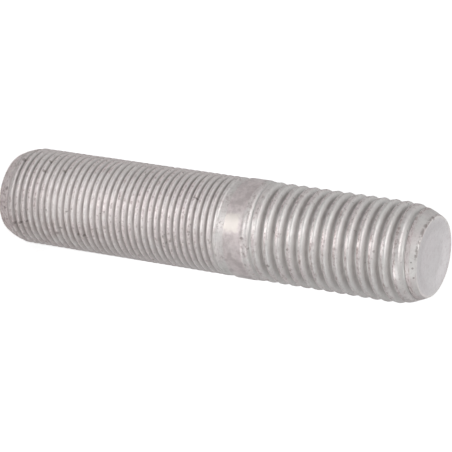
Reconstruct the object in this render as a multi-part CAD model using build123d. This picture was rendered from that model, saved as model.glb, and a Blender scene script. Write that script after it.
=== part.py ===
from build123d import *
from math import atan2, ceil, cos, degrees, floor, radians, sin, tan
import os

# Double ended stud: one round steel bar, rolled with a fine thread at one end and a coarse thread at
# the other, with a short plain shank between them. Both threads are right handed. Millimetres.
# The stud stands on its fine end: the origin is the middle of that end's face, and +Z runs along the
# stud to the coarse end.

# Both threads
nominal_diameter = 20.0
crest_undersize = 0.2       # how much less than the nominal diameter the crests measure
flank_angle = 30.0          # between a flank and a plane square to the axis
depth_per_pitch = 0.6134    # from the nominal diameter down to the root
root_flat_per_pitch = 1 / 6

# Whole stud
overall_length = 94.3
shank_diameter = 20.0
shank_length = 3.9
shoulder = 0.35             # height of the slopes beside the shank and the neck

# Fine end, at the bottom
fine_end_length = 53.6      # from the end face to the shank
fine_pitch = 1.5
fine_first_groove = 1.75    # from the face to the first groove's middle, on the +X side
fine_runout_turns = 0.5     # turns in which the groove fades out towards the neck
fine_face_diameter = 16.9   # the point has a steep slope and then a gentle one
point_break_diameter = 18.4
point_break_height = 1.4
fine_point_length = 3.8
neck_length = 2.0           # between the fine thread and the shank
neck_undersize = 0.8        # how much less than the nominal diameter the neck measures

# Coarse end, at the top
coarse_pitch = 2.5
coarse_first_groove = 2.07  # from the face to the first groove's middle, on the +X side
coarse_runout_turns = 1.0   # turns in which the groove fades out towards the shank
coarse_face_diameter = 15.9
coarse_point_length = 3.8
rim_width = 0.5             # flat ring round the hollow that rolling leaves in the coarse face
hollow_floor_diameter = 9.0
hollow_depth = 0.4

# Clearances
mouth_clearance = 0.05      # how far a groove's cutter stands out of the crests
runout_gap = 0.1            # plain bar between the end of a runout and the neck or the shank

crest_radius = (nominal_diameter - crest_undersize) / 2
neck_radius = (nominal_diameter - neck_undersize) / 2
shank_radius = shank_diameter / 2
shank_start = fine_end_length
shank_end = shank_start + shank_length
coarse_end_length = overall_length - shank_end


def blank():
    """The bar before its threads are rolled, turned about Z, with the hollow in its coarse face."""
    neck_start = shank_start - neck_length
    half_section = Polyline(
        (0, 0),
        (fine_face_diameter / 2, 0),
        (point_break_diameter / 2, point_break_height),
        (crest_radius, fine_point_length),
        (crest_radius, neck_start),
        (neck_radius, neck_start + shoulder),
        (neck_radius, shank_start - shoulder),
        (shank_radius, shank_start),
        (shank_radius, shank_end),
        (crest_radius, shank_end + shoulder),
        (crest_radius, overall_length - coarse_point_length),
        (coarse_face_diameter / 2, overall_length),
        (coarse_face_diameter / 2 - rim_width, overall_length),
        (hollow_floor_diameter / 2, overall_length - hollow_depth),
        (0, overall_length - hollow_depth),
        close=True,
    )
    return revolve(make_face(Plane.XZ * half_section), Axis.Z)


def groove_section(pitch, root_radius, height):
    """The corners of a groove's section as (radius, height): two at the root, two at the mouth."""
    mouth_radius = crest_radius + mouth_clearance
    half_root = root_flat_per_pitch * pitch / 2
    half_mouth = half_root + (mouth_radius - root_radius) * tan(radians(flank_angle))
    return [
        (root_radius, height - half_root),
        (root_radius, height + half_root),
        (mouth_radius, height + half_mouth),
        (mouth_radius, height - half_mouth),
    ]


def helix_edge(start, end, turns):
    """A right-hand helix from one (radius, height) to another, flared where the radius changes."""
    rise = end[1] - start[1]
    flare = atan2(end[0] - start[0], rise)
    wound = Helix(
        pitch=rise / turns / cos(flare),
        height=rise,
        radius=start[0],
        center=(0, 0, start[1]),
        cone_angle=degrees(flare),
    )
    return wound.edge()


def section_face(section, turns):
    """The flat end of a groove's cutter, turned about the axis."""
    angle = 2 * radians(180) * turns
    corners = [(radius * cos(angle), radius * sin(angle), height) for radius, height in section]
    return Face(Wire.make_polygon(corners))


def groove(pitch, first_groove, thread_length, runout_turns):
    """The helical cutter of one thread. It is wound up from below the face, keeps its full depth turn by
    turn, and then fades out in its runout."""
    full_depth_radius = nominal_diameter / 2 - depth_per_pitch * pitch
    faded_radius = crest_radius + mouth_clearance
    fade_start = thread_length - runout_turns * pitch
    turns_to_fade = (fade_start - first_groove) / pitch

    stops = list(range(-floor(turns_to_fade) - 3, ceil(runout_turns))) + [runout_turns]
    sections = []
    for turn in stops:
        faded = max(turn, 0) / runout_turns
        root_radius = full_depth_radius + (faded_radius - full_depth_radius) * faded
        sections.append(groove_section(pitch, root_radius, fade_start + turn * pitch))

    faces = [section_face(sections[0], 0), section_face(sections[-1], runout_turns)]
    for turn, next_turn, section, next_section in zip(stops, stops[1:], sections, sections[1:]):
        edges = [helix_edge(corner, onward, next_turn - turn) for corner, onward in zip(section, next_section)]
        for edge, neighbour in zip(edges, edges[1:] + edges[:1]):
            faces.append(Face.make_surface_from_curves(edge, neighbour))
    return Rot(0, 0, 360 * turns_to_fade) * Solid(Shell(faces))


fine_thread_length = fine_end_length - neck_length - runout_gap
coarse_thread_length = coarse_end_length - shoulder - runout_gap
fine_groove = groove(fine_pitch, fine_first_groove, fine_thread_length, fine_runout_turns)
coarse_groove = groove(coarse_pitch, coarse_first_groove, coarse_thread_length, coarse_runout_turns)
coarse_groove = Pos(0, 0, overall_length) * Rot(180, 0, 0) * coarse_groove
stud = blank() - fine_groove - coarse_groove

os.makedirs("parts", exist_ok=True)
export_step(stud.solid(), "parts/double_ended_stud.step")
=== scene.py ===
from math import cos, pi, radians, sin, tan

import bpy
from mathutils import Matrix, Vector


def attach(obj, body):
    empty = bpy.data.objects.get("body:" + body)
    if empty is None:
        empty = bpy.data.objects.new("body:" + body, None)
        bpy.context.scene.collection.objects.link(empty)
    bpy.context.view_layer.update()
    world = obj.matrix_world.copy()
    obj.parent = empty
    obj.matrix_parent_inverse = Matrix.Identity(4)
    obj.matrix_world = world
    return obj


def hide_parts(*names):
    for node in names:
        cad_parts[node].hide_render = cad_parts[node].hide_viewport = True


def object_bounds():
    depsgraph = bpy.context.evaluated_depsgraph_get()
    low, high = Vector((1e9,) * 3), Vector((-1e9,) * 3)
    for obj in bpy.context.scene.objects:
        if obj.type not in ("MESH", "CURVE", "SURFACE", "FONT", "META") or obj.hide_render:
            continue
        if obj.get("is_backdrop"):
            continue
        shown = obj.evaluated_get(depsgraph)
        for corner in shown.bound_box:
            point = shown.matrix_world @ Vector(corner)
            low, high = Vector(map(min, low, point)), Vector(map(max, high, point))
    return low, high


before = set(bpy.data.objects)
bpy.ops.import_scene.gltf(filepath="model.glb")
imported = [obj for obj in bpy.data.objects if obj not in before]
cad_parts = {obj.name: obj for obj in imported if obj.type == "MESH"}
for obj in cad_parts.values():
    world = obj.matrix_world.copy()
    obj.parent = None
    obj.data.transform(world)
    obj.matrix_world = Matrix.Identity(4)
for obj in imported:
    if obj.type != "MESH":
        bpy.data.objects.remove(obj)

cad_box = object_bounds()

MILLIMETRE = 0.001
FULL_TURN = 2 * pi

# Sizes of the stud, as inputs of its node tree. Lengths are in millimetres, and heights are above the
# fine end's face. The crest slope is a ratio, and the last entry counts turns.
STUD_SIZES = {
    "Overall length": 94.3,
    "Crest radius": 9.9,
    "Fine face radius": 8.45,
    "Fine face slant": 0.5,
    "Point break radius": 9.2,
    "Point break height": 1.4,
    "Fine point length": 3.8,
    "Neck radius": 9.6,
    "Neck start": 51.6,
    "Shank radius": 10.0,
    "Shank start": 53.6,
    "Shank end": 57.5,
    "Shoulder": 0.35,
    "Shank foot depth": 0.1,
    "Coarse face radius": 7.95,
    "Coarse face slant": 0.4,
    "Coarse point length": 3.8,
    "Rim width": 0.5,
    "Hollow floor radius": 4.5,
    "Hollow depth": 0.4,
    "Corner rounding": 0.12,
    "Fine point rounding": 0.5,
    "Coarse point rounding": 2.4,
    "Fine pitch": 1.5,
    "Fine first groove": 0.25,
    "Fine root radius": 9.08,
    "Fine full depth": 50.75,
    "Fine faded out": 51.5,
    "Fine rounding": 0.25,
    "Coarse pitch": 2.5,
    "Coarse first groove": 92.23,
    "Coarse root radius": 8.467,
    "Coarse full depth": 60.45,
    "Coarse faded out": 57.95,
    "Coarse rounding": 0.4,
    "Crest slope": 0.28,
    "Groove clearance": 0.05,
    "Crest waviness": 0.03,
    "Nick depth": 0.08,
    "Turns between first grooves": 51.5,
}

# Whole numbers of the tree: the divisions of the skin, and the seed of its dents.
STUD_COUNTS = {
    "Columns": 96,
    "Rows per turn": 16,
    "Face rings": 14,
    "Seed": 7,
}

# The section of a groove. The soft edges of the rubbed slope are shares of the pitch.
ROOT_FLAT_PER_PITCH = 1 / 6
FLANK_STEEPNESS = 1 / tan(radians(30))
STEEP_FLANK_STEEPNESS = 1 / tan(radians(17))
RUBBED_SLOPE = (0.05, 0.2), (0.42, 0.5)

# The skin: turns of its grid below the first groove, how close in millimetres the points of a seam lie
# that become one, and how many waves and nicks there are to a millimetre.
LEAD_IN_TURNS = 2
SEAM_DISTANCE = 0.002
WAVES_PER_MILLIMETRE = 0.22
NICKS_PER_MILLIMETRE = 0.9
NICK_EDGE = (0.68, 0.8)


class Value:
    """A socket of a node tree. Python arithmetic on values adds Math nodes to their tree."""

    def __init__(self, graph, socket):
        self.graph = graph
        self.socket = socket

    def __getitem__(self, name):
        """Another output of the same node."""
        return Value(self.graph, self.socket.node.outputs[name])

    def __add__(self, other):
        return self.graph.math("ADD", self, other)

    def __sub__(self, other):
        return self.graph.math("SUBTRACT", self, other)

    def __rsub__(self, other):
        return self.graph.math("SUBTRACT", other, self)

    def __mul__(self, other):
        return self.graph.math("MULTIPLY", self, other)

    def __truediv__(self, other):
        return self.graph.math("DIVIDE", self, other)

    def __rtruediv__(self, other):
        return self.graph.math("DIVIDE", other, self)

    def __abs__(self):
        return self.graph.math("ABSOLUTE", self)

    def __round__(self):
        return self.graph.math("ROUND", self)

    __radd__ = __add__
    __rmul__ = __mul__

    def at_least(self, other, rounding=0):
        return self.graph.math("SMOOTH_MAX", self, other, rounding)

    def at_most(self, other, rounding=0):
        return self.graph.math("SMOOTH_MIN", self, other, rounding)

    def step(self, low, high):
        """0 below low and 1 above high, with a smooth rise between them."""
        inputs = {"Value": self, "From Min": low, "From Max": high}
        return self.graph.node("ShaderNodeMapRange", {"interpolation_type": "SMOOTHSTEP"}, inputs)

    def fall(self, low, high):
        """1 below low and 0 above high, with a smooth fall between them."""
        return 1 - self.step(low, high)

    def between(self, rise, fall):
        """1 between two soft edges and 0 outside them."""
        return self.step(*rise) * self.fall(*fall)


class Graph:
    """A node tree that is built from Python."""

    def __init__(self, tree):
        self.tree = tree

    def node(self, kind, settings=None, inputs=None):
        """Adds a node, applies its settings, fills or links its sockets, and returns its first output."""
        node = self.tree.nodes.new(kind)
        for name, setting in (settings or {}).items():
            setattr(node, name, setting)
        for name, entries in (inputs or {}).items():
            sockets = [socket for socket in node.inputs if socket.enabled]
            socket = sockets[name] if isinstance(name, int) else next(s for s in sockets if s.name == name)
            for entry in entries if isinstance(entries, list) else [entries]:
                if isinstance(entry, Value):
                    self.tree.links.new(entry.socket, socket)
                else:
                    socket.default_value = entry
        outputs = [socket for socket in node.outputs if socket.enabled]
        return Value(self, outputs[0]) if outputs else None

    def math(self, operation, *values):
        return self.node("ShaderNodeMath", {"operation": operation}, dict(enumerate(values)))

    def noise(self, place, scale, detail, roughness=0.5):
        """Noise from 0 to 1 whose grains are about 1 / scale wide."""
        inputs = {"Vector": place, "Scale": scale, "Detail": detail, "Roughness": roughness}
        return self.node("ShaderNodeTexNoise", {}, inputs)

    def tint(self, amount, under, over):
        """The colour under, with the colour over laid on it."""
        return self.node("ShaderNodeMix", {"data_type": "RGBA"}, {"Factor": amount, "A": under, "B": over})


def emptied(owner):
    """The node tree of a new material or world, without the nodes that it starts with."""
    owner.use_nodes = True
    owner.node_tree.nodes.clear()
    return Graph(owner.node_tree)


def new_object(name, data):
    """A new object of the scene."""
    made = bpy.data.objects.new(name, data)
    bpy.context.scene.collection.objects.link(made)
    return made


def colour(red, green, blue):
    """A colour that is written as it looks, from 0 to 255, as the shader needs it."""
    return tuple(((part / 255 + 0.055) / 1.055) ** 2.4 for part in (red, green, blue)) + (1.0,)


def blend(start, end, share):
    return start + (end - start) * share


# The stud's shape

class Groove:
    """One thread's groove near the skin: how far along its pitch a place lies from the groove's middle,
    from -0.5 to 0.5, and how far the groove has faded out there."""

    def __init__(self, size, end, height, turn):
        self.size = size
        self.pitch = size[f"{end} pitch"]
        self.root_radius = size[f"{end} root radius"]
        self.rounding = size[f"{end} rounding"]
        grooves_away = (height - size[f"{end} first groove"]) / self.pitch - turn
        self.beside = grooves_away - round(grooves_away)
        full_depth = size[f"{end} full depth"]
        past_full_depth = height - self.beside * self.pitch - full_depth
        self.faded = (past_full_depth / (size[f"{end} faded out"] - full_depth)).at_least(0)

    def radius(self):
        """A narrow root, a straight flank that faces the coarse end, and a steep flank that ends in the
        rubbed slope of the next crest."""
        size = self.size
        root = blend(self.root_radius, size["Crest radius"] + size["Groove clearance"], self.faded)
        half_root = ROOT_FLAT_PER_PITCH / 2
        flank = root - (self.beside + half_root) * self.pitch * FLANK_STEEPNESS
        steep_flank = root + (self.beside - half_root) * self.pitch * STEEP_FLANK_STEEPNESS
        slope = size["Crest slope"] * (1 - self.faded.at_most(1))
        rubbed_slope = size["Crest radius"] - (0.5 - self.beside) * self.pitch * slope
        far_side = steep_flank.at_most(rubbed_slope, self.rounding / 3)
        return flank.at_least(root, self.rounding).at_least(far_side, self.rounding / 2)

    def rubbed(self):
        """1 on the rubbed slope beside each crest, 0 on the flanks and in the root."""
        return self.beside.between(*RUBBED_SLOPE) * (1 - self.faded.at_most(1))


def foot_height(size, turn_cosine):
    """The height of the fine face's rim. The face is a little out of square, and lowest on the +X side."""
    return size["Fine face slant"] * (0.5 - turn_cosine * 0.5)


def head_height(size, turn_cosine):
    """The height of the coarse face's rim, which is highest on the -X side."""
    return size["Overall length"] - size["Coarse face slant"] * (0.5 + turn_cosine * 0.5)


def blank_radius(size, height, turn_cosine):
    """The radius of the bar before its threads are rolled: two points, the neck and the shank."""
    crest, shank = size["Crest radius"], size["Shank radius"]
    fine_face, coarse_face = size["Fine face radius"], size["Coarse face radius"]
    break_radius, break_height = size["Point break radius"], size["Point break height"]

    above_foot = height - foot_height(size, turn_cosine)
    steep = fine_face + above_foot * (break_radius - fine_face) / break_height
    gentle = break_radius + (above_foot - break_height) * (crest - break_radius) / (
        size["Fine point length"] - break_height)
    fine_point = steep.at_most(gentle, size["Fine point rounding"])
    below_head = head_height(size, turn_cosine) - height
    coarse_point = coarse_face + below_head * (crest - coarse_face) / size["Coarse point length"]

    shoulder = size["Shoulder"]
    in_neck = height.step(size["Neck start"], size["Neck start"] + shoulder)
    in_shank = height.step(size["Shank start"] - shoulder, size["Shank start"])
    past_shank = height.step(size["Shank end"] - shoulder / 2, size["Shank end"] + shoulder / 2)
    at_foot = abs(height - size["Shank end"] - shoulder / 2).fall(0, shoulder)
    bar = (crest + (size["Neck radius"] - crest) * in_neck
           + (shank - size["Neck radius"]) * in_shank
           + (crest - shank) * past_shank
           - size["Shank foot depth"] * at_foot)
    pointed = bar.at_most(fine_point, size["Corner rounding"])
    return pointed.at_most(coarse_point, size["Coarse point rounding"])


def around(graph, radius, height, turn):
    """The point at that radius and height, so many turns round the axis."""
    angle = turn * FULL_TURN
    return graph.node("ShaderNodeCombineXYZ", {}, {
        "X": radius * graph.math("COSINE", angle), "Y": radius * graph.math("SINE", angle), "Z": height})


def stud_radius(graph, size, height, turn):
    """The radius of the finished stud, with the waves and nicks that handling left on its crests."""
    blank = blank_radius(size, height, graph.math("COSINE", turn * FULL_TURN))
    bare = blank.at_most(Groove(size, "Fine", height, turn).radius(), size["Fine rounding"])
    bare = bare.at_most(Groove(size, "Coarse", height, turn).radius(), size["Coarse rounding"])
    place = around(graph, bare, height, turn)
    seeded = graph.node("ShaderNodeVectorMath", {"operation": "ADD"}, {0: place, 1: size["Seed"]})
    waves = graph.noise(seeded, WAVES_PER_MILLIMETRE, detail=3.0) * size["Crest waviness"]
    nicks = graph.noise(seeded, NICKS_PER_MILLIMETRE, detail=1.0).step(*NICK_EDGE) * size["Nick depth"]
    return bare - waves - nicks


def sheet(graph, columns, rows):
    """A flat grid. At each of its points, the share of the way along the columns, and the row's number."""
    grid = graph.node("GeometryNodeMeshGrid", {}, {
        "Size X": 1.0, "Size Y": 1.0, "Vertices X": columns + 1, "Vertices Y": rows + 1})
    corner = graph.node("ShaderNodeSeparateXYZ", {}, {"Vector": graph.node("GeometryNodeInputPosition")})
    return grid, round((corner["X"] + 0.5) * columns) / columns, round((corner["Y"] + 0.5) * rows)


def placed(graph, mesh, radius, height, turn):
    """The grid bent round the axis."""
    return graph.node("GeometryNodeSetPosition", {}, {
        "Geometry": mesh, "Position": around(graph, radius, height, turn)})


def threaded_side(graph, size):
    """The side of the stud. Its rows climb round it with the threads, so that each crest and root runs
    along a row, and both ends of a row meet the ends of other rows. It keeps what the finish needs: how
    deep in a groove each point lies, and how rubbed it is. Both are stored before the grid is bent,
    because they follow from where its points are on the flat grid."""
    columns, rows_per_turn = size["Columns"], size["Rows per turn"]
    rows = rows_per_turn * (size["Turns between first grooves"] + LEAD_IN_TURNS + 1)
    mesh, turn, row = sheet(graph, columns, rows)
    climb = row / rows_per_turn + turn - LEAD_IN_TURNS
    along_fine = size["Fine first groove"] + climb * size["Fine pitch"]
    along_coarse = size["Coarse first groove"] + (
        climb - size["Turns between first grooves"]) * size["Coarse pitch"]
    turn_cosine = graph.math("COSINE", turn * FULL_TURN)
    height = along_fine.at_least(along_coarse)
    height = height.at_least(foot_height(size, turn_cosine)).at_most(head_height(size, turn_cosine))
    radius = stud_radius(graph, size, height, turn)

    past_shank = height.step(size["Shank start"], size["Shank end"])
    root_radius = blend(size["Fine root radius"], size["Coarse root radius"], past_shank)
    depth = blank_radius(size, height, turn_cosine) - radius
    groove = depth / (size["Crest radius"] - root_radius)
    rubbed = Groove(size, "Coarse", height, turn).rubbed() * past_shank
    for name, amount in (("groove", groove), ("rubbed", rubbed)):
        mesh = graph.node("GeometryNodeStoreNamedAttribute", {"data_type": "FLOAT"}, {
            "Geometry": mesh, "Name": name, "Value": amount})
    return placed(graph, mesh, radius, height, turn)


def end_face(graph, size, rim_height, outward, dish):
    """A face of the stud, from its middle out to the side, or the other way for the top one."""
    mesh, turn, ring = sheet(graph, size["Columns"], size["Face rings"])
    share = ring / size["Face rings"]
    share = share if outward else 1 - share
    spread = 1 - (1 - share) * (1 - share)
    edge = rim_height(size, graph.math("COSINE", turn * FULL_TURN))
    middle = rim_height(size, turn * 0)
    radius = stud_radius(graph, size, edge, turn) * spread
    return placed(graph, mesh, radius, blend(middle, edge, spread) - dish(radius), turn)


def stud_tree(coating):
    """The node tree of the stud. It is built in millimetres and scaled to metres at the end."""
    tree = bpy.data.node_groups.new("threaded_stud", "GeometryNodeTree")
    tree.interface.new_socket("Stud", in_out="OUTPUT", socket_type="NodeSocketGeometry")
    for name in STUD_SIZES:
        tree.interface.new_socket(name, in_out="INPUT", socket_type="NodeSocketFloat")
    for name in STUD_COUNTS:
        tree.interface.new_socket(name, in_out="INPUT", socket_type="NodeSocketInt")
    graph = Graph(tree)
    entry = graph.node("NodeGroupInput")
    size = {name: entry[name] for name in [*STUD_SIZES, *STUD_COUNTS]}

    def hollow(radius):
        inside_rim = size["Coarse face radius"] - size["Rim width"]
        return size["Hollow depth"] * radius.fall(size["Hollow floor radius"], inside_rim)

    def flat(radius):
        return radius * 0

    foot = end_face(graph, size, foot_height, True, flat)
    side = threaded_side(graph, size)
    head = end_face(graph, size, head_height, False, hollow)
    joined = graph.node("GeometryNodeJoinGeometry", {}, {"Geometry": [foot, side, head]})
    closed = graph.node("GeometryNodeMergeByDistance", {}, {"Geometry": joined, "Distance": SEAM_DISTANCE})
    metres = graph.node("GeometryNodeTransform", {}, {
        "Geometry": closed, "Scale": (MILLIMETRE, MILLIMETRE, MILLIMETRE)})
    smooth = graph.node("GeometryNodeSetShadeSmooth", {}, {"Geometry": metres})
    realized = graph.node("GeometryNodeRealizeInstances", {}, {"Geometry": smooth})
    coated = graph.node("GeometryNodeSetMaterial", {}, {"Geometry": realized, "Material": coating})
    graph.node("NodeGroupOutput", {}, {"Stud": coated})
    return tree


def make_stud(coating):
    """The stud as a plain mesh, made by its node tree."""
    maker = new_object("threaded_stud_start", bpy.data.meshes.new("threaded_stud_start"))
    modifier = maker.modifiers.new("threads", "NODES")
    modifier.node_group = stud_tree(coating)
    given = {**STUD_SIZES, **STUD_COUNTS}
    for item in modifier.node_group.interface.items_tree:
        if item.in_out == "INPUT":
            modifier[item.identifier] = given[item.name]
    depsgraph = bpy.context.evaluated_depsgraph_get()
    mesh = bpy.data.meshes.new_from_object(maker.evaluated_get(depsgraph))
    mesh.name = "threaded_stud"
    bpy.data.objects.remove(maker)
    return new_object("threaded_stud", mesh)


# The stud's finish

# Noises of the finish: their scale, with grains of about 1 / scale metres, their detail and roughness.
PATCHES = (170.0, 4.0, 0.5)
CLOUDS = (520.0, 4.0, 0.6)
MOTTLE = (1500.0, 3.0, 0.7)
GRAIN = (3200.0, 2.0, 0.6)
STREAKS = (800.0, 3.0, 0.6)
SPOTS = (1100.0, 2.0, 0.5)
STREAK_SHORTNESS = 8

# Soft edges of the zones of the finish, in millimetres of height or radius and in degrees round the stud.
FACE_HEIGHT, FACE_RADIUS = (92.9, 93.1), (7.3, 7.7)
SHANK_HEIGHTS = (53.3, 53.6), (57.3, 57.6)
FINE_END_TOP = (50.5, 51.5)
FINE_POINT_TOP = (1.8, 3.4)
THREADS_TOP = (91.8, 92.4)
STAIN_TOP, STAIN_SIDES = (10, 45), ((15, 40), (70, 100))

# A painted shade line low in the last coarse groove, where its bottom falls dark: its height on the -Y side,
# and its soft edges.
SHADE_LINE_HEIGHT, SHADE_LINE_EDGE, SHADE_LINE_END = 91.98, (0.06, 0.2), (90, 150)

# Burrs along the rim of the coarse face: the soft edges of their distance, height and sides.
BURR_EDGE, BURR_HEIGHT, BURR_SIDES = (0.08, 0.34), (93.5, 93.7), ((-70, -55), (2, 14))

# Small marks on the coat: height in millimetres, degrees round from the -Y side towards +X, half of
# their height in millimetres and half of their width in degrees.
DARK_MARKS = [
    (4.0, 41, 0.35, 2.2), (5.6, 39, 0.3, 1.8), (7.4, 36, 0.35, 1.6), (2.0, 22, 0.35, 1.8),
    (2.3, -3, 0.3, 2.2), (3.7, -45, 0.4, 2.6), (9.9, -49, 0.35, 1.8), (9.8, -32, 0.25, 1.8),
    (14.3, -36, 0.3, 2.0), (12.5, 16, 0.22, 1.2), (17.3, 14, 0.25, 1.2), (18.5, 10, 0.2, 1.2),
    (14.3, 45, 0.35, 2.2), (15.7, 36, 0.3, 1.4), (19.5, 44, 0.4, 2.2), (20.9, 44, 0.35, 2.0),
    (45.7, -26, 0.6, 1.2), (46.5, -13, 0.3, 1.2), (57.7, 13, 0.4, 1.6), (67.6, 18, 0.3, 1.0),
    (63.0, 43, 0.4, 1.8), (94.1, -66, 0.3, 3.2), (93.5, 20, 0.2, 1.4), (93.6, 34, 0.18, 1.4),
    (93.2, 12, 0.16, 1.0),
]
# A polished patch on the shank, lightened in colour as a painted highlight: height in millimetres, degrees
# round, half of its height and half of its width.
POLISHED_HIGHLIGHT_PATCH = (55.15, -3.0, 1.6, 10.5)

# The coat, from cool to warm, and the tints laid on it in turn, each with how strongly it covers.
# Colours are written as they look, from 0 to 255.
COOL_COAT = (225, 223, 221)
WARM_COAT = (222, 212, 212)
TINTS = {
    "clouds": (184, 177, 176, 0.2),
    "end face": (208, 204, 206, 0.8),
    "clouds on the shank": (180, 170, 170, 0.55),
    "stain": (176, 158, 154, 0.3),
    "dark flecks": (158, 142, 139, 1.0),
    "light flecks": (244, 239, 235, 0.8),
    "rubbed streaks": (160, 141, 136, 0.6),
    # Painted shade with some grime, darker deeper in the grooves.
    "dirt in the grooves": (122, 113, 111, 1.0),
    # Dark spots, marks and burrs, and a painted shade line in the last coarse groove.
    "dark marks": (100, 86, 82, 0.55),
    # A polished patch, lightened as a painted highlight.
    "burnished patch": (231, 224, 218, 0.85),
}

METALLIC = 0.5
PLAIN_ROUGHNESS = 0.46
BUMP_STRENGTH = 0.35
BUMP_DISTANCE = 0.0001


def oval(height, side, mark, raggedness):
    """1 inside a soft-edged oval mark and 0 outside it."""
    up = (height - mark[0]) / mark[2]
    across = (side - mark[1]) / mark[3]
    return (up * up + across * across + raggedness).fall(0.3, 1.5)


def window(height, side, mark, raggedness):
    """1 inside a soft-edged rectangular mark and 0 outside it."""
    up = abs(height - mark[0]) / mark[2] + raggedness
    across = abs(side - mark[1]) / mark[3] + raggedness
    return up.fall(0.8, 1.15) * across.fall(0.7, 1.25)


class Skin:
    """Where a point of the stud's skin lies, the zones that it is in, and the noises there."""

    def __init__(self, graph):
        place = graph.node("ShaderNodeTexCoord")["Object"]
        along = graph.node("ShaderNodeSeparateXYZ", {}, {"Vector": place})
        across = along["X"] * along["X"] + along["Y"] * along["Y"]
        turn = graph.math("ARCTAN2", along["X"], along["Y"] * -1) / FULL_TURN
        unwound = along["Z"] - turn * STUD_SIZES["Coarse pitch"] * MILLIMETRE
        beside_helix = graph.node("ShaderNodeCombineXYZ", {}, {
            "X": along["X"], "Y": along["Y"], "Z": unwound * STREAK_SHORTNESS})
        self.height = along["Z"] / MILLIMETRE
        self.radius = graph.math("SQRT", across) / MILLIMETRE
        self.side = turn * 360
        self.unwound_height = unwound / MILLIMETRE

        self.patches = graph.noise(place, *PATCHES)
        self.clouds = graph.noise(place, *CLOUDS)
        self.mottle = graph.noise(place, *MOTTLE)
        self.grain = graph.noise(place, *GRAIN)
        self.spots = graph.noise(place, *SPOTS)
        self.streaks = graph.noise(beside_helix, *STREAKS)

        self.groove = graph.node("ShaderNodeAttribute", {"attribute_name": "groove"})["Fac"]
        self.rubbed = graph.node("ShaderNodeAttribute", {"attribute_name": "rubbed"})["Fac"]
        self.exposed = self.groove.fall(0.05, 0.4)
        self.on_face = self.height.step(*FACE_HEIGHT) * self.radius.fall(*FACE_RADIUS)
        self.on_shank = self.height.between(*SHANK_HEIGHTS)
        self.on_fine_end = self.height.fall(*FINE_END_TOP)
        self.on_point = self.height.fall(*FINE_POINT_TOP)
        self.threaded = 1 - self.on_shank - self.height.step(*THREADS_TOP)

    def dark_marks_and_shade_line(self):
        """1 on the spots, marks and burrs of the coat and on a painted shade line in the last coarse groove,
        and 0 on the clean coat.
        """
        spots = self.spots.step(0.66, 0.74) * self.patches.step(0.45, 0.55)
        marks_and_shade = spots * self.threaded * 0.8
        for mark in DARK_MARKS:
            marks_and_shade = marks_and_shade.at_least(oval(self.height, self.side, mark, (self.mottle - 0.5) * 3.0))
        # A painted shade line low in the last coarse groove.
        shade_line = abs(self.unwound_height - SHADE_LINE_HEIGHT).fall(*SHADE_LINE_EDGE) * self.side.fall(*SHADE_LINE_END)
        marks_and_shade = marks_and_shade.at_least(shade_line * (0.4 + self.clouds.step(0.4, 0.6) * 0.5))
        burrs = abs(self.radius - STUD_SIZES["Coarse face radius"]).fall(*BURR_EDGE)
        burrs = burrs * self.height.step(*BURR_HEIGHT) * self.side.between(*BURR_SIDES)
        burrs = burrs * self.clouds.step(0.4, 0.5) * self.mottle.step(0.38, 0.5)
        return marks_and_shade.at_least(burrs) * (1 - self.on_face)


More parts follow.
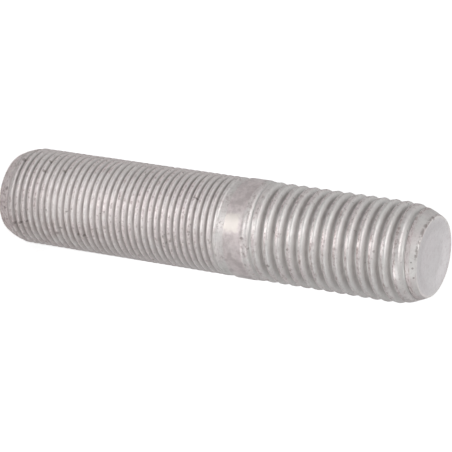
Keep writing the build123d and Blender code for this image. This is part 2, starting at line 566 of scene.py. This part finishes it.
def coated_steel():
    """Dull grey coated steel, warm and mottled where it is rubbed, with painted shade and some grime in the
    roots of the threads, and a polished patch on one side of the shank, lightened as a painted highlight."""
    material = bpy.data.materials.new("coated_steel")
    graph = emptied(material)
    skin = Skin(graph)
    clouds, mottle, rubbed, on_fine_end = skin.clouds, skin.mottle, skin.rubbed, skin.on_fine_end

    worn = skin.exposed * skin.patches.step(0.38, 0.62)
    warmth = worn * 0.6 + on_fine_end * 0.35 + skin.on_shank * 0.6 + skin.on_point * 0.5 + rubbed * 0.5
    flecks_on_threads = (on_fine_end * 0.15 + worn * 0.4 + rubbed * 0.35) * skin.threaded
    flecked = skin.exposed * (0.15 + flecks_on_threads) + skin.on_point * 0.15
    stained = skin.height.fall(*STAIN_TOP) * skin.side.between(*STAIN_SIDES) * clouds.step(0.3, 0.6)
    # Painted shade with some grime: darker the deeper a point lies in a groove, most of all on the fine end.
    groove_shade_and_grime = skin.groove.step(0.25, 0.95) * (0.04 + on_fine_end * 0.18 + clouds.step(0.3, 0.7) * 0.12)
    # Dark marks, with a painted shade line in the last coarse groove.
    marks_and_shade = skin.dark_marks_and_shade_line()
    # The polished patch: partly real polish, partly a painted highlight.
    polish_and_highlight = window(skin.height, skin.side, POLISHED_HIGHLIGHT_PATCH, (mottle - 0.5) * 0.8)
    amounts = {
        "clouds": clouds.step(0.3, 0.7),
        "end face": skin.on_face,
        "clouds on the shank": skin.on_shank * clouds.step(0.4, 0.65),
        "stain": stained,
        "dark flecks": flecked * mottle.step(0.5, 0.66),
        "light flecks": flecked * mottle.fall(0.32, 0.46),
        "rubbed streaks": rubbed * skin.streaks.step(0.5, 0.62),
        "dirt in the grooves": groove_shade_and_grime,
        "dark marks": marks_and_shade,
        "burnished patch": polish_and_highlight,
    }
    coat = graph.tint(warmth.at_most(1), colour(*COOL_COAT), colour(*WARM_COAT))
    for name, (red, green, blue, strength) in TINTS.items():
        coat = graph.tint(amounts[name] * strength, coat, colour(red, green, blue))

    roughness = PLAIN_ROUGHNESS + on_fine_end * 0.05 + (mottle - 0.5) * 0.2
    bump = graph.node("ShaderNodeBump", {}, {
        "Strength": BUMP_STRENGTH, "Distance": BUMP_DISTANCE,
        "Height": skin.grain * 0.4 + mottle * 0.4 * (1 - skin.on_face) - marks_and_shade * 0.3})
    surface = graph.node("ShaderNodeBsdfPrincipled", {}, {
        "Base Color": coat,
        "Metallic": METALLIC,
        "Roughness": roughness - rubbed * 0.06 - polish_and_highlight * 0.02,
        "Normal": bump,
    })
    graph.node("ShaderNodeOutputMaterial", {}, {"Surface": surface})
    return material


# The floor, the lights and the camera

# The floor's grey from 0 to 255, half of its width in metres, and the glow that the camera and mirrored
# rays see in it. The last is the strength of the sky on matt surfaces.
FLOOR_GREY = 235
FLOOR_HALF = 3.0
SEEN_GLOW = 0.82
MIRRORED_GLOW = 0.41
SKY_LIGHT = 0.05

# Lamps that shine on the middle of the stud: degrees round from the camera's side towards +X, degrees up,
# and watts. Their width and distance are in metres.
SOFT_LAMPS = {
    "high_lamp": (-20, 60, 0.88),
    "left_lamp": (-75, 60, 0.32),
    "right_lamp": (50, 8, 0.5),
    "back_lamp": (180, 50, 0.2),
}
SOFT_LAMP_WIDTH = 0.2
SOFT_LAMP_DISTANCE = 0.55

# A strip of light on the floor: its width, length and place in metres, and watts.
FLOOR_LAMP_WIDTH = 0.04
FLOOR_LAMP_LENGTH = 0.18
FLOOR_LAMP_PLACE = (0, -0.115, 0.002)
FLOOR_LAMP_WATTS = 0.052

# The camera: its lens and sensor in millimetres, its place in metres, and two of its directions.
CAMERA_LENS = 199.2
SENSOR_WIDTH = 36.0
NEAREST_SEEN, FURTHEST_SEEN = 0.02, 20.0
CAMERA_PLACE = (0.00029, -0.4394, 0.28238)
CAMERA_RIGHT = (-0.1538, 0.4638, 0.8725)
CAMERA_BACK = (0.0, -0.8830, 0.4694)


def white_room():
    """A white floor that keeps the stud's shadow, and a white sky that gives an even light."""
    material = bpy.data.materials.new("white_floor")
    graph = emptied(material)
    rays = graph.node("ShaderNodeLightPath")
    mirrored = rays["Is Glossy Ray"].at_least(rays["Is Transmission Ray"])
    glow = (rays["Is Camera Ray"] * SEEN_GLOW).at_least(mirrored * MIRRORED_GLOW)
    paint = graph.node("ShaderNodeBsdfDiffuse", {}, {"Color": colour(FLOOR_GREY, FLOOR_GREY, FLOOR_GREY)})
    light = graph.node("ShaderNodeEmission", {}, {"Strength": glow})
    surface = graph.node("ShaderNodeAddShader", {}, {0: paint, 1: light})
    graph.node("ShaderNodeOutputMaterial", {}, {"Surface": surface})

    mesh = bpy.data.meshes.new("floor")
    corners = [(-1, -1), (1, -1), (1, 1), (-1, 1)]
    mesh.from_pydata([(x * FLOOR_HALF, y * FLOOR_HALF, 0) for x, y in corners], [], [(0, 1, 2, 3)])
    mesh.materials.append(material)
    floor = new_object("floor", mesh)
    floor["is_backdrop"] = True

    world = bpy.data.worlds.new("white_sky")
    graph = emptied(world)
    rays = graph.node("ShaderNodeLightPath")
    seen = rays["Is Camera Ray"].at_least(rays["Is Glossy Ray"]).at_least(rays["Is Transmission Ray"])
    sky = graph.node("ShaderNodeBackground", {}, {"Strength": seen.at_least(SKY_LIGHT)})
    graph.node("ShaderNodeOutputWorld", {}, {"Surface": sky})
    bpy.context.scene.world = world


def area_lamp(name, width, length, watts, turned):
    """A rectangular lamp that shines along its own -Z."""
    lamp = bpy.data.lights.new(name, "AREA")
    lamp.shape = "RECTANGLE"
    lamp.size = width
    lamp.size_y = length
    lamp.energy = watts
    holder = new_object(name, lamp)
    holder.matrix_world = turned
    holder.visible_camera = False


def soft_lamp(name, side, rise, watts):
    """A square lamp that shines on the middle of the stud, from that side and that far up."""
    side, rise = radians(side), radians(rise)
    middle = Vector((0, 0, STUD_SIZES["Overall length"] / 2 * MILLIMETRE))
    away = Vector((sin(side) * cos(rise), -cos(side) * cos(rise), sin(rise)))
    turned = (-away).to_track_quat("-Z", "Y").to_matrix().to_4x4()
    place = Matrix.Translation(middle + away * SOFT_LAMP_DISTANCE)
    area_lamp(name, SOFT_LAMP_WIDTH, SOFT_LAMP_WIDTH, watts, place @ turned)


def floor_lamp():
    """A strip that lies on the floor in front of the stud and shines up at it."""
    upside_down = Matrix.Diagonal((1, -1, -1, 1))
    place = Matrix.Translation(FLOOR_LAMP_PLACE)
    area_lamp("floor_lamp", FLOOR_LAMP_WIDTH, FLOOR_LAMP_LENGTH, FLOOR_LAMP_WATTS, place @ upside_down)


def photo_camera():
    """The camera, turned on its side as the photograph shows the stud: up in the picture is -X."""
    camera = new_object("camera", bpy.data.cameras.new("camera"))
    camera.data.sensor_width = SENSOR_WIDTH
    camera.data.lens = CAMERA_LENS
    camera.data.clip_start = NEAREST_SEEN
    camera.data.clip_end = FURTHEST_SEEN
    back = Vector(CAMERA_BACK).normalized()
    up = back.cross(Vector(CAMERA_RIGHT).normalized()).normalized()
    turned = Matrix((up.cross(back), up, back)).transposed().to_4x4()
    camera.matrix_world = Matrix.Translation(CAMERA_PLACE) @ turned
    bpy.context.scene.camera = camera


stud = make_stud(coated_steel())
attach(stud, "root")
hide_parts("double_ended_stud")

white_room()
for name, (side, rise, watts) in SOFT_LAMPS.items():
    soft_lamp(name, side, rise, watts)
floor_lamp()
photo_camera()
bpy.context.scene.view_settings.view_transform = "Standard"

boxes = {"cad": [list(corner) for corner in cad_box], "visual": [list(corner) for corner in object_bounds()]}
